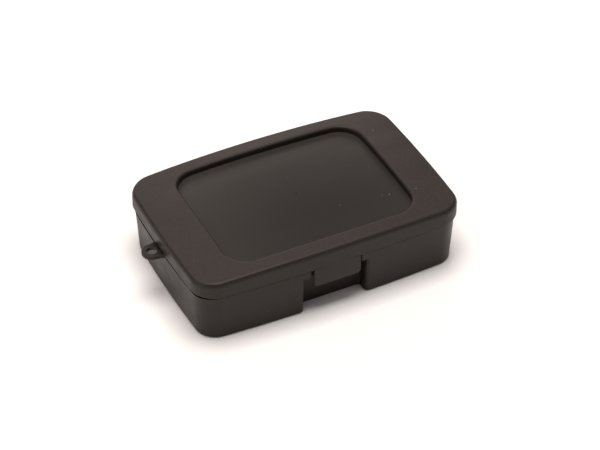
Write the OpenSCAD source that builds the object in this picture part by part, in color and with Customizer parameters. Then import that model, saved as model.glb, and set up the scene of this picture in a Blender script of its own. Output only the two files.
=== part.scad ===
// Mouse bait station: a low lidded box with a hinged cap, a front release tab and a bait chamber inside.
// Frame: origin at the centre of the underside, +Z up, the release tab at -Y, the tie-down ear at -X.

/* [Lid] */
// Overall length of the lid, over its bowed short sides
lid_l = 150; // [130:1:190]
// Overall depth of the lid, over its bowed long sides
lid_w = 98; // [92:1:130]
// Height of the lid's top edge at the two short ends
lid_top = 36.6; // [35:0.2:48]
// Height of the lid's visible skirt, top edge included
skirt_h = 8.2; // [7.8:0.2:11]
// Wall thickness of the lid
lid_wall = 1.8; // [1.2:0.1:2.2]
// Plan radius of the lid's corners
corner_r = 12.2; // [9:0.2:18]
// How far the middle of each long side bows out
bow_long = 2.4; // [0.4:0.1:4]
// How far the middle of each short side bows out
bow_short = 1.4; // [0.4:0.1:3]
// Rise of the lid's long edges from their ends to their middle
crown = 1.75; // [0.5:0.05:3]
// Rise of the lid's top from its edges to its middle, like a pillow
dome = 2.5; // [0:0.1:4]
// Radius of the lid's rounded top edge
top_edge_r = 1.7; // [0.8:0.1:2.4]

/* [Sunk panel] */
// Length of the sunk panel
panel_l = 107.8; // [80:0.2:110]
// Depth of the sunk panel, front to back
panel_w = 81.6; // [60:0.2:83]
// Plan radius of the panel's corners
panel_r = 13.8; // [8:0.2:18]
// How far the panel lies below the frame around it
panel_depth = 3.8; // [2.4:0.1:4.6]
// How much more the panel's floor rises to its middle than the lid's top does
panel_dome = 0.4; // [0:0.1:1.5]
// How far the middle of each long side of the panel bows out
panel_bow_long = 0.9; // [0.3:0.1:2]
// How far the middle of each short side of the panel bows out
panel_bow_short = 0.4; // [0.3:0.1:2]
// Radius of the rounded rim above the panel
panel_edge_r = 1.5; // [0.6:0.1:1.8]
// Radius of the fillet round the panel's floor
panel_foot_r = 0.5; // [0.3:0.1:0.8]

/* [Base] */
// Wall thickness of the base
base_wall = 2.2; // [1.6:0.1:3]
// Thickness of the base's floor
floor_t = 2; // [1.6:0.1:3]
// How far the lid overhangs the base just below the skirt
overhang = 1.1; // [0.8:0.1:2]
// How far the walls lean in from the skirt to the foot
draft_in = 1.4; // [0:0.1:2]
// Radius of the base's bottom edge
foot_r = 1.3; // [0.6:0.1:2]
// Height of the rim that stands up inside the skirt
rim_h = 5; // [3:0.1:6]
// Gap between the lid and the base where they face each other
lid_gap = 0.3; // [0.25:0.05:0.5]

/* [Finger recess and release tab] */
// Width of the recess in the front wall
recess_w = 34.6; // [32:0.2:44]
// Depth of the recess at the foot
recess_d = 6.9; // [5:0.1:9]
// Height of the recess, from the foot to the band above it
recess_h = 23; // [21:0.2:25]
// Width of the release tab
tab_w = 26; // [20:0.2:28]
// How far the tab hangs below the skirt
tab_drop = 11; // [9:0.2:14]
// Thickness of the tab, thinner than the lid so that it bends at its top
tab_t = 1.1; // [0.8:0.1:1.2]
// Plan clearance on each side of the tab
tab_gap = 1.3; // [0.6:0.1:1.6]
// Radius of the tab's lower corners
tab_corner_r = 2.2; // [1:0.1:4]

/* [Tie-down ear] */
// Radius of the hole in the ear
ear_hole_r = 2.5; // [1.5:0.1:3]
// Width of the ring of plastic around that hole
ear_ring = 2.7; // [2:0.1:4]
// Thickness of the ear
ear_t = 1.8; // [1.4:0.1:3]
// Distance from the lid's side to the centre of the hole
ear_reach = 4; // [3:0.1:8]
// Width of the ear where it leaves the wall
ear_root_w = 14.8; // [13.5:0.2:20]
// How far the ear sits behind the middle of its side
ear_back = 1; // [-10:0.5:10]

/* [Rear hinge] */
// Radius of each hinge pin
pin_r = 1; // [0.8:0.05:1.2]
// Outer radius of the knuckles
knuckle_r = 2.6; // [2.2:0.1:2.8]
// Length of each lid knuckle
lid_knuckle_l = 8; // [5:0.5:10]
// Length of each base knuckle
base_knuckle_l = 5; // [4:0.5:8]
// Distance from the middle of the station to each hinge
hinge_x = 24; // [18:0.5:26]
// Distance of the hinge axis behind the lid
hinge_back = 3; // [2.9:0.05:4]
// How far the hinge axis lies below the skirt's lower edge
hinge_drop = 1.4; // [1:0.1:2]
// Radial clearance of the pin in the lid's knuckles
pin_clear = 0.06; // [0.02:0.01:0.1]

/* [Entrances] */
// Width of each mouse entrance
entry_w = 22; // [18:0.5:24]
// Height of each entrance above its sill
entry_h = 21; // [18:0.5:22]
// Height of the sill above the ground
sill_h = 3.4; // [2.6:0.2:5]
// Distance from the middle of the station to each entrance
entry_x = 51; // [49:0.5:54]

/* [Bait chamber] */
// Distance from the middle of the station to each baffle
baffle_x = 35; // [33:0.5:36]
// Thickness of each baffle
baffle_t = 1.8; // [1.4:0.1:2.4]
// Height of each baffle above the floor
baffle_h = 25; // [22:0.5:28]
// Length of each baffle, from the rear wall forward
baffle_l = 52; // [46:0.5:56]
// Thickness of the bait tray's floor and walls
tray_t = 1.2; // [0.8:0.1:2]
// Height of the bait tray's walls
tray_h = 4.4; // [3.5:0.1:5]
// Radius of each bait rod
rod_r = 1.5; // [1:0.1:2]
// Height of the rods above the ground
rod_z = 14.5; // [13.6:0.1:16]
// Distance between the two rods
rod_pitch = 21; // [19.5:0.5:24]
// Length of each bait block, along its rod
block_l = 26; // [20:0.5:27]
// Depth and height of each bait block
block_side = 18; // [14:0.5:18.5]

/* [Hidden] */

$fn = 48;
eps = 0.01;
shell_colour = "#403a37";
tray_colour = "#2c2a29";
steel_colour = "#b4b6b8";
bait_colour = "#2f7f9d";

// Plan outlines
half_l = lid_l / 2 - bow_short;
half_w = lid_w / 2 - bow_long;
min_r = 0.5;
arc_steps = 7;
long_steps = 14;
short_steps = 4;

// Heights
part_z = lid_top - skirt_h;
shoulder_z = part_z - lid_gap;
rim_top = shoulder_z + rim_h;
ceiling_z = lid_top - lid_wall;
panel_z = lid_top - panel_depth;
lid_edge = 1;

// Insets from the lid's outline, in plan
skirt_draft = 0.1;
rim_inset = lid_wall + lid_gap;
cavity_inset = overhang + base_wall;
foot_inset = overhang + draft_in;
cavity_foot_inset = foot_inset + base_wall;
floor_edge = 1;

// Front recess and the wall behind the tab
front_y = -lid_w / 2;
recess_y = front_y + foot_inset + recess_d;
recess_corner_r = 2;
slot_half = tab_w / 2 + tab_gap;
slot_y = front_y + lid_wall + 3 * lid_gap;
lug_h = 1.6;
lug_out = slot_y - lid_gap - front_y - tab_t;
lug_w = 12;
slot_top = part_z + 0.05;

// Hinge
hinge_y = lid_w / 2 + hinge_back;
hinge_z = part_z - hinge_drop;
knuckle_gap = 0.4;
hinge_half = lid_knuckle_l / 2 + knuckle_gap + base_knuckle_l;
pin_l = 2 * hinge_half - 1;
arm_sink = 1;

// Ear
ear_x = -(lid_l / 2 + ear_reach);
ear_r = ear_hole_r + ear_ring;

// Entrances
entry_depth = 14;
entry_out = 2;

// Inside
fit_gap = 0.4;
rear_in_y = half_w + bow_long * (1 - pow(baffle_x / half_l, 2)) - cavity_foot_inset;
baffle_rear_y = rear_in_y - fit_gap;
baffle_front_y = baffle_rear_y - baffle_l;
guide_clear = 0.1;
rail_t = 1.4;
rail_h = 3;
post_d = 4;
tray_half = baffle_x - baffle_t / 2 - rail_t - 2 * fit_gap;
tray_front_y = recess_y + base_wall + 1;
tray_rear_y = baffle_rear_y - post_d;
block_gap = 2;
rod_rear_y = tray_rear_y - block_side / 2 - block_gap;
rod_front_y = rod_rear_y - rod_pitch;
rod_head_r = 3;
rod_head_t = 1.6;
rod_play = 1;
rod_half = baffle_x + baffle_t / 2 + rod_play + rod_head_t;
rod_slot_clear = 0.15;
block_x = block_l / 2 + 1.5;
block_hole_r = rod_r + 0.5;
block_drop = 0.45;
groove_r = 1.2;

// Half of a rounded rectangle with bowed sides, from the middle of the right side over the back to the left
function half_outline(a, b, r) = concat(
    [for (i = [0:short_steps - 1]) [a, (b - r) * i / short_steps]],
    [for (i = [0:arc_steps]) [a - r + r * cos(90 * i / arc_steps), b - r + r * sin(90 * i / arc_steps)]],
    [for (i = [1:long_steps - 1]) [(a - r) * (1 - 2 * i / long_steps), b]],
    [for (i = [0:arc_steps]) [r - a - r * sin(90 * i / arc_steps), b - r + r * cos(90 * i / arc_steps)]],
    [for (i = [short_steps - 1:-1:0]) [-a, (b - r) * i / short_steps]]
);
function bowed(p, a, b, bow_x, bow_y) = [
    p.x + bow_x * p.x / a * (1 - pow(p.y / b, 2)),
    p.y + bow_y * p.y / b * (1 - pow(p.x / a, 2))
];
function full_outline(h) = concat(h, [for (i = [len(h) - 2:-1:1]) [h[i].x, -h[i].y]]);
function outline(a, b, r, bow_x, bow_y) =
    [for (p = full_outline(half_outline(a, b, r))) bowed(p, a, b, bow_x, bow_y)];

// Height of the lid's top above its corners, and how much more the panel's floor rises, at a place in plan
function top_at(p) =
    crown * (1 - pow(2 * p.x / lid_l, 2))
    + dome * (1 - pow(2 * p.x / lid_l, 4)) * (1 - pow(2 * p.y / lid_w, 2));
function floor_at(p) = panel_dome * max(0, 1 - pow(2 * p.x / panel_l, 2)) * max(0, 1 - pow(2 * p.y / panel_w, 2));

// Rings of a loft: a flat one, one raised to follow the lid's top, and one that follows the panel's floor
function flat_ring(plan, z) = [for (p = plan) [p.x, p.y, z]];
function top_ring(plan, z) = [for (p = plan) [p.x, p.y, z + top_at(p)]];
function floor_ring(plan, z) = [for (p = plan) [p.x, p.y, z + top_at(p) + floor_at(p)]];

// Outlines of the body and of the panel, moved in by an inset, and one partway between two others
function body_plan(inset) = outline(half_l - inset, half_w - inset, corner_r - inset, bow_short, bow_long);
function panel_plan(inset) =
    let (a = panel_l / 2 - panel_bow_short - inset, b = panel_w / 2 - panel_bow_long - inset)
    outline(a, b, max(panel_r - inset, min_r), panel_bow_short, panel_bow_long);
function plan_between(from, to, share) = [for (i = [0:len(from) - 1]) from[i] + (to[i] - from[i]) * share];

// Rings over the panel's floor from near its middle out to its edge
function floor_rings(z) =
    [for (share = [0.85:-0.25:0.35]) floor_ring(panel_plan(share * (panel_w / 2 - panel_bow_long)), z)];

// Faces that close a ring with strips across it, so that a crowned end stays a row of flat strips
function strip(i, n) = let (m = n / 2)
    i == 0 ? [0, n - 1, 1] : i == m - 1 ? [i, i + 2, i + 1] : [i, n - i, n - i - 1, i + 1];
function flipped(face) = [for (i = [len(face) - 1:-1:0]) face[i]];
function shifted(face, by) = [for (v = face) v + by];

// Closed solid through a list of rings, listed from the lowest to the highest
module loft(rings) {
    n = len(rings[0]);
    last = (len(rings) - 1) * n;
    polyhedron(
        points = [for (ring = rings) each ring],
        faces = concat(
            [for (k = [0:len(rings) - 2], j = [0:n - 1])
                [k * n + j, (k + 1) * n + j, (k + 1) * n + (j + 1) % n]],
            [for (k = [0:len(rings) - 2], j = [0:n - 1])
                [k * n + j, (k + 1) * n + (j + 1) % n, k * n + (j + 1) % n]],
            [for (i = [0:n / 2 - 1]) flipped(strip(i, n))],
            [for (i = [0:n / 2 - 1]) shifted(strip(i, n), last)]
        ),
        convexity = 4
    );
}

// A box between two corners
module block(low, high) {
    translate(low)
        cube(high - low);
}

// A cylinder along X, centred on x = 0
module bar(r, l) {
    rotate([0, 90, 0])
        cylinder(r = r, h = l, center = true);
}

// --- Lid ---

module lid_outside() {
    edge = [for (a = [0:22.5:90])
        top_ring(body_plan(skirt_draft + top_edge_r * (1 - cos(a))), lid_top - top_edge_r * (1 - sin(a)))];
    outer = body_plan(skirt_draft + top_edge_r);
    inner = panel_plan(2 * panel_edge_r);
    frame = [for (share = [0.25:0.25:1]) top_ring(plan_between(outer, inner, share), lid_top)];
    loft(concat([flat_ring(body_plan(0), part_z)], edge, frame));
}

module lid_inside() {
    outer = body_plan(lid_wall + skirt_draft + lid_edge);
    inner = panel_plan(0);
    difference() {
        loft(concat([
            flat_ring(body_plan(lid_wall), part_z - 1),
            flat_ring(body_plan(lid_wall), part_z),
            top_ring(body_plan(lid_wall + skirt_draft), ceiling_z - lid_edge)
        ], [for (share = [0:0.25:1]) top_ring(plan_between(outer, inner, share), ceiling_z)]));
        loft(concat(floor_rings(panel_z - lid_wall), [
            top_ring(panel_plan(lid_edge - lid_wall), panel_z - lid_wall),
            top_ring(panel_plan(-lid_wall), panel_z - lid_wall + lid_edge),
            top_ring(panel_plan(-lid_wall), ceiling_z + lid_wall + 1)
        ]));
    }
}

module panel_cut() {
    r = panel_edge_r;
    foot_r = panel_foot_r;
    lower = [for (a = [0:30:90])
        top_ring(panel_plan(r + foot_r * (1 - sin(a))), panel_z + foot_r * (1 - cos(a)))];
    upper = [for (a = [0:22.5:90]) top_ring(panel_plan(r * cos(a)), lid_top - r * (1 - sin(a)))];
    loft(concat(floor_rings(panel_z), lower, upper, [top_ring(panel_plan(0), lid_top + 2)]));
}

module hinge_places() {
    for (side = [-1, 1])
        translate([side * hinge_x, hinge_y, hinge_z])
            children();
}

module lid_knuckles() {
    arm_y = -hinge_back - lid_wall / 2 - bow_long * pow(hinge_x / half_l, 2);
    hinge_places()
        difference() {
            union() {
                bar(knuckle_r, lid_knuckle_l);
                block([-lid_knuckle_l / 2, arm_y, hinge_drop], [lid_knuckle_l / 2, 0, knuckle_r]);
            }
            bar(pin_r + pin_clear, lid_knuckle_l + 1);
        }
}

module lid_shell() {
    color(shell_colour)
        union() {
            difference() {
                lid_outside();
                lid_inside();
                panel_cut();
            }
            lid_knuckles();
        }
}

// The tab turns about its outer upper edge, so its upper face drops away from the skirt as it opens
module release_tab() {
    drop_z = part_z - tab_drop;
    color(shell_colour)
        union() {
            translate([0, front_y + tab_t, 0])
                rotate([90, 0, 0])
                    linear_extrude(tab_t)
                        tab_face(drop_z);
            translate([0, front_y + tab_t - eps, recess_h - lid_gap])
                rotate([90, 0, 90])
                    linear_extrude(lug_w, center = true)
                        polygon([[0, 0], [lug_out, -lug_h / 3], [lug_out, -lug_h / 2], [0, -lug_h]]);
        }
}

module tab_face(drop_z) {
    union() {
        translate([-tab_w / 2, drop_z + tab_corner_r])
            square([tab_w, tab_drop - tab_corner_r]);
        translate([-tab_w / 2 + tab_corner_r, drop_z])
            square([tab_w - 2 * tab_corner_r, tab_corner_r + eps]);
        for (side = [-1, 1])
            translate([side * (tab_w / 2 - tab_corner_r), drop_z + tab_corner_r])
                circle(tab_corner_r);
    }
}

// --- Base ---

module base_outside() {
    foot = [for (a = [0:30:90])
        flat_ring(body_plan(foot_inset + foot_r * (1 - sin(a))), foot_r * (1 - cos(a)))];
    loft(concat(foot, [
        flat_ring(body_plan(overhang), shoulder_z),
        flat_ring(body_plan(rim_inset), shoulder_z),
        flat_ring(body_plan(rim_inset + skirt_draft), rim_top)
    ]));
}

module base_inside() {
    loft([
        flat_ring(body_plan(cavity_foot_inset + floor_edge), floor_t),
        flat_ring(body_plan(cavity_foot_inset), floor_t + floor_edge),
        flat_ring(body_plan(cavity_inset), shoulder_z),
        flat_ring(body_plan(cavity_inset), rim_top + 1)
    ]);
}

// Solid left standing inside the front wall: the back of the recess and the catch ledge above it
module recess_housing() {
    half = recess_w / 2 + base_wall;
    block([-half, front_y, 0], [half, recess_y + base_wall, recess_h + floor_t]);
    block([-half, front_y, 0], [half, slot_y + base_wall, shoulder_z]);
}

module recess_plan() {
    half = recess_w / 2;
    lip_y = front_y + overhang;
    union() {
        translate([-half, front_y - 1])
            square([recess_w, recess_y - front_y + 1 - recess_corner_r]);
        translate([-half + recess_corner_r, front_y])
            square([recess_w - 2 * recess_corner_r, recess_y - front_y]);
        for (side = [-1, 1])
            translate([side * (half - recess_corner_r), recess_y - recess_corner_r])
                circle(recess_corner_r);
        // rounded edges where the recess meets the front wall
        for (side = [-1, 1])
            difference() {
                translate([side * (half + recess_corner_r / 2), lip_y])
                    square([recess_corner_r + 2 * eps, 2 * recess_corner_r], center = true);
                translate([side * (half + recess_corner_r), lip_y + recess_corner_r])
                    circle(recess_corner_r);
            }
    }
}

module recess_cut() {
    translate([0, 0, -1])
        linear_extrude(recess_h + 1)
            recess_plan();
    block([-slot_half, front_y - 1, recess_h - 1], [slot_half, slot_y, slot_top]);
}

module entry_cut() {
    r = entry_w / 2;
    for (side = [-1, 1])
        translate([side * entry_x, lid_w / 2 + entry_out, sill_h])
            rotate([90, 0, 0])
                linear_extrude(entry_depth + entry_out)
                    union() {
                        translate([-r, 0])
                            square([entry_w, entry_h - r]);
                        translate([0, entry_h - r])
                            circle(r);
                    }
}

module base_knuckles() {
    reach = hinge_back + overhang + arm_sink + bow_long * pow((hinge_x + hinge_half) / half_l, 2);
    mid = (lid_knuckle_l + base_knuckle_l) / 2 + knuckle_gap;
    hinge_places()
        for (side = [-1, 1])
            translate([side * mid, 0, 0])
                difference() {
                    union() {
                        bar(knuckle_r, base_knuckle_l);
                        block([-base_knuckle_l / 2, -reach, -knuckle_r], [base_knuckle_l / 2, 0, 0]);
                    }
                    bar(pin_r, base_knuckle_l + 1);
                }
}

module tie_ear() {
    root_x = -(lid_l / 2 - overhang - arm_sink);
    translate([0, ear_back, shoulder_z - ear_t])
        difference() {
            union() {
                translate([ear_x, 0, 0])
                    cylinder(r = ear_r, h = ear_t);
                linear_extrude(ear_t)
                    polygon([[root_x, -ear_root_w / 2], [root_x, ear_root_w / 2],
                             [ear_x, ear_r], [ear_x, -ear_r]]);
            }
            translate([ear_x, 0, -1])
                cylinder(r = ear_hole_r, h = ear_t + 2);
        }
}

// Posts at the rear wall and low rails on the floor, which hold the baffles upright
module baffle_guides() {
    middle = baffle_t / 2 + guide_clear + rail_t / 2;
    post_y = baffle_rear_y - post_d;
    for (side = [-1, 1], face = [-1, 1])
        translate([side * baffle_x + face * middle - rail_t / 2, 0, 0]) {
            block([0, post_y, floor_t - 1], [rail_t, rear_in_y + 1, baffle_h]);
            block([0, baffle_front_y, floor_t - 1], [rail_t, baffle_rear_y, floor_t + rail_h]);
        }
}

module base_shell() {
    color(shell_colour)
        union() {
            difference() {
                base_outside();
                difference() {
                    base_inside();
                    recess_housing();
                    baffle_guides();
                }
                recess_cut();
                entry_cut();
            }
            base_knuckles();
            tie_ear();
        }
}

// --- Hinge pins ---

module hinge_pin(side) {
    color(steel_colour)
        translate([side * hinge_x, hinge_y, hinge_z])
            bar(pin_r, pin_l);
}

module hinge_pin_left() {
    hinge_pin(-1);
}

module hinge_pin_right() {
    hinge_pin(1);
}

// --- Bait chamber ---

module bait_tray() {
    low = [-tray_half, tray_front_y, floor_t];
    high = [tray_half, tray_rear_y, floor_t + tray_h];
    wall = [tray_t, tray_t, tray_t];
    color(tray_colour)
        difference() {
            block(low, high);
            block(low + wall, [high.x - tray_t, high.y - tray_t, high.z + 1]);
        }
}

// A plate with two open slots that the rods drop into, its lower rear corner cut off to clear the floor's edge
module baffle(side) {
    slot_r = rod_r + rod_slot_clear;
    top_z = floor_t + baffle_h;
    color(tray_colour)
        difference() {
            translate([side * baffle_x - baffle_t / 2, 0, 0])
                rotate([90, 0, 90])
                    linear_extrude(baffle_t)
                        polygon([[baffle_front_y, floor_t], [baffle_rear_y - floor_edge, floor_t],
                                 [baffle_rear_y, floor_t + floor_edge], [baffle_rear_y, top_z],
                                 [baffle_front_y, top_z]]);
            for (y = [rod_front_y, rod_rear_y]) {
                translate([side * baffle_x, y, rod_z])
                    bar(slot_r, baffle_t + 1);
                block([side * baffle_x - baffle_t, y - slot_r, rod_z],
                      [side * baffle_x + baffle_t, y + slot_r, top_z + 1]);
            }
        }
}

module baffle_left() {
    baffle(-1);
}

module baffle_right() {
    baffle(1);
}

module bait_rod(y) {
    color(steel_colour)
        translate([0, y, rod_z])
            union() {
                bar(rod_r, 2 * rod_half);
                for (side = [-1, 1])
                    translate([side * (rod_half - rod_head_t / 2), 0, 0])
                        bar(rod_head_r, rod_head_t);
            }
}

module bait_rod_front() {
    bait_rod(rod_front_y);
}

module bait_rod_rear() {
    bait_rod(rod_rear_y);
}

// A wax block with a hole for its rod and grooves for teeth to bite
module bait_block(side, y) {
    half = block_side / 2;
    grooves = 4;
    color(bait_colour)
        translate([side * block_x, y, rod_z - block_drop])
            difference() {
                cube([block_l, block_side, block_side], center = true);
                bar(block_hole_r, block_l + 1);
                for (i = [0:grooves - 1], face = [-1, 1])
                    translate([(i - (grooves - 1) / 2) * block_l / grooves, face * half, 0])
                        cylinder(r = groove_r, h = block_side + 1, center = true);
            }
}

module bait_block_front_left() {
    bait_block(-1, rod_front_y);
}

module bait_block_front_right() {
    bait_block(1, rod_front_y);
}

module bait_block_rear_left() {
    bait_block(-1, rod_rear_y);
}

module bait_block_rear_right() {
    bait_block(1, rod_rear_y);
}

base_shell();
lid_shell();
release_tab();
hinge_pin_left();
hinge_pin_right();
bait_tray();
baffle_left();
baffle_right();
bait_rod_front();
bait_rod_rear();
bait_block_front_left();
bait_block_front_right();
bait_block_rear_left();
bait_block_rear_right();
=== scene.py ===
"""Mouse bait station: moulded shells, release tab, hinge, baffles, rods and bait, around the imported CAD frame."""
import bpy
from math import cos, pi, radians, sin
from mathutils import Matrix, Vector


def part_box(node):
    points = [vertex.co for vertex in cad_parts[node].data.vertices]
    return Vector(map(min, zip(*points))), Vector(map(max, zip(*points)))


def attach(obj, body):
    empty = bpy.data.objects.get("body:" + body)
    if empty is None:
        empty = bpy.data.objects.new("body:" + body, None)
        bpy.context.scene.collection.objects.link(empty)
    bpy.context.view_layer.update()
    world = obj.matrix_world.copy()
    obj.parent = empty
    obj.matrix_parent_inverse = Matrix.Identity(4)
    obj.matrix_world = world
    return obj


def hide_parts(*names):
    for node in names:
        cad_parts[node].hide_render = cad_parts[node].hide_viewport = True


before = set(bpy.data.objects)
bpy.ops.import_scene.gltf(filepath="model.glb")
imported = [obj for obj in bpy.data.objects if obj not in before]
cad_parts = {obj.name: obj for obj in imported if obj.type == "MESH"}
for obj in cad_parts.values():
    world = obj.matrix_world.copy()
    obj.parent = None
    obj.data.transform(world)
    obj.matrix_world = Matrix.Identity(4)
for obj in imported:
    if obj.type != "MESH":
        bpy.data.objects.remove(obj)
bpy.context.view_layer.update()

MM = 0.001


# ---------------------------------------------------------------- camera

CAMERA_AZIMUTH = radians(-26.6)
CAMERA_ELEVATION = radians(40.17)
CAMERA_ROLL = radians(0.16)
CAMERA_DISTANCE = 1.154
CAMERA_AIM = Vector((3.0, -0.7, 15.5)) * MM
SENSOR_WIDTH = 36.0
FOCAL_LENGTH = 134.4


def make_camera():
    away = Vector((sin(CAMERA_AZIMUTH) * cos(CAMERA_ELEVATION),
                   -cos(CAMERA_AZIMUTH) * cos(CAMERA_ELEVATION),
                   sin(CAMERA_ELEVATION)))
    data = bpy.data.cameras.new("camera")
    data.sensor_width = SENSOR_WIDTH
    data.lens = FOCAL_LENGTH
    data.clip_end = 20.0
    camera = bpy.data.objects.new("camera", data)
    camera.location = CAMERA_AIM + away * CAMERA_DISTANCE
    turn = away.to_track_quat("Z", "Y") @ Matrix.Rotation(CAMERA_ROLL, 4, "Z").to_quaternion()
    camera.rotation_euler = turn.to_euler()
    bpy.context.scene.collection.objects.link(camera)
    bpy.context.scene.camera = camera


make_camera()


# ---------------------------------------------------------------- sizes, in millimetres, from the frame

def box_mm(node):
    low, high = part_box(node)
    return low / MM, high / MM


LID_LOW, LID_HIGH = box_mm("lid_shell")
BASE_LOW, BASE_HIGH = box_mm("base_shell")
TAB_LOW, TAB_HIGH = box_mm("release_tab")
PIN_LOW, PIN_HIGH = box_mm("hinge_pin_right")

LID_L = LID_HIGH.x - LID_LOW.x
FRONT_Y = LID_LOW.y
LID_W = -2 * FRONT_Y
PART_Z = TAB_HIGH.z
CROWN = 1.75
DOME = 2.48
SKIRT_H = 8.2
LID_TOP = PART_Z + SKIRT_H
LID_WALL = 1.8
BOW_LONG = 2.4
BOW_SHORT = 1.4
CORNER_R = 12.2
TOP_EDGE_IN = 1.8
TOP_EDGE_DOWN = 2.6
SKIRT_DRAFT = 0.1
LID_GAP = 0.3
HALF_L = LID_L / 2 - BOW_SHORT
HALF_W = LID_W / 2 - BOW_LONG

PANEL_L = 107.8
PANEL_W = 81.6
PANEL_R = 13.8
PANEL_BOW_LONG = 0.9
PANEL_BOW_SHORT = 0.4
PANEL_DEPTH = 3.8
PANEL_DOME = 0.4
PANEL_EDGE_R = 1.5
PANEL_FOOT_R = 0.4

BASE_WALL = 2.2
FLOOR_T = 2.0
OVERHANG = 1.1
DRAFT_IN = 1.4
FOOT_R = 1.3
SHOULDER_Z = PART_Z - LID_GAP
RIM_TOP = BASE_HIGH.z
RIM_INSET = LID_WALL + LID_GAP
FOOT_INSET = OVERHANG + DRAFT_IN
CAVITY_INSET = OVERHANG + BASE_WALL
CAVITY_FOOT_INSET = FOOT_INSET + BASE_WALL

RECESS_HALF = 17.3
RECESS_Y = FRONT_Y + FOOT_INSET + 6.9
RECESS_H = 23.0
RECESS_CORNER_R = 2.0
TAB_GAP = 1.3
SLOT_HALF = TAB_HIGH.x + TAB_GAP
SLOT_Y = FRONT_Y + LID_WALL + 3 * LID_GAP

HINGE_Y = (PIN_LOW.y + PIN_HIGH.y) / 2
KNUCKLE_R = BASE_HIGH.y - HINGE_Y
HINGE_Z = (PIN_LOW.z + PIN_HIGH.z) / 2
HINGE_X = (PIN_LOW.x + PIN_HIGH.x) / 2
LID_KNUCKLE_L = 8.0
BASE_KNUCKLE_L = 5.0
KNUCKLE_GAP = 0.4

EAR_X = BASE_LOW.x + 5.2
EAR_Y = 1.0
EAR_R = 5.2
EAR_HOLE_R = 2.5
EAR_T = 1.8
EAR_ROOT_HALF = 7.4

ENTRY_R = 11.0
ENTRY_H = 21.0
ENTRY_X = 51.0
ENTRY_DEPTH = 14.0
ENTRY_OUT = 2.0
SILL_Z = 3.4


# ---------------------------------------------------------------- outlines and lofts

ARC_STEPS = 14
LONG_STEPS = 36
SHORT_STEPS = 12


def half_outline(a, b, r):
    """Rounded rectangle from the middle of the right side, over the back, to the middle of the left side."""
    quarter = [i / ARC_STEPS * pi / 2 for i in range(ARC_STEPS + 1)]
    right = [(a, (b - r) * i / SHORT_STEPS) for i in range(SHORT_STEPS)]
    corner = [(a - r + r * cos(t), b - r + r * sin(t)) for t in quarter]
    back = [((a - r) * (1 - 2 * i / LONG_STEPS), b) for i in range(1, LONG_STEPS)]
    far_corner = [(r - a - r * sin(t), b - r + r * cos(t)) for t in quarter]
    left = [(-a, (b - r) * i / SHORT_STEPS) for i in range(SHORT_STEPS - 1, -1, -1)]
    return right + corner + back + far_corner + left


def bow(points, a, b, bow_x, bow_y):
    return [(x + bow_x * x / a * (1 - (y / b) ** 2), y + bow_y * y / b * (1 - (x / a) ** 2)) for x, y in points]


def outline(a, b, r, bow_x, bow_y):
    half = half_outline(a, b, max(r, 0.5))
    full = half + [(x, -y) for x, y in half[-2:0:-1]]
    return bow(full, a, b, bow_x, bow_y)


def top_at(x, y):
    """Height of the lid's pillow-shaped top above its corners."""
    across, back = 2 * x / LID_L, 2 * y / LID_W
    return CROWN * (1 - across ** 2) + DOME * (1 - across ** 4) * (1 - back ** 2)


def floor_at(x, y):
    """How much more the sunk panel's floor rises to its middle than the lid's top does."""
    return PANEL_DOME * max(0.0, 1 - (2 * x / PANEL_L) ** 2) * max(0.0, 1 - (2 * y / PANEL_W) ** 2)


def body_ring(inset, z):
    return [(x, y, z) for x, y in outline(HALF_L - inset, HALF_W - inset, CORNER_R - inset, BOW_SHORT, BOW_LONG)]


def front_line(x, inset):
    a = HALF_L - inset
    return -(HALF_W - inset) - BOW_LONG * (1 - (x / a) ** 2)


def raised(ring):
    """The ring lifted to follow the lid's top."""
    return [(x, y, z + top_at(x, y)) for x, y, z in ring]


def panel_ring(inset, z):
    a = PANEL_L / 2 - PANEL_BOW_SHORT - inset
    b = PANEL_W / 2 - PANEL_BOW_LONG - inset
    return raised([(x, y, z) for x, y in outline(a, b, PANEL_R - inset, PANEL_BOW_SHORT, PANEL_BOW_LONG)])


def floor_ring(inset, z):
    return [(x, y, h + floor_at(x, y)) for x, y, h in panel_ring(inset, z)]


def between(ring_a, ring_b, share):
    return [tuple(p + (q - p) * share for p, q in zip(u, v)) for u, v in zip(ring_a, ring_b)]


def on_top(ring):
    return [(x, y, LID_TOP + top_at(x, y)) for x, y, _ in ring]


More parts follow.
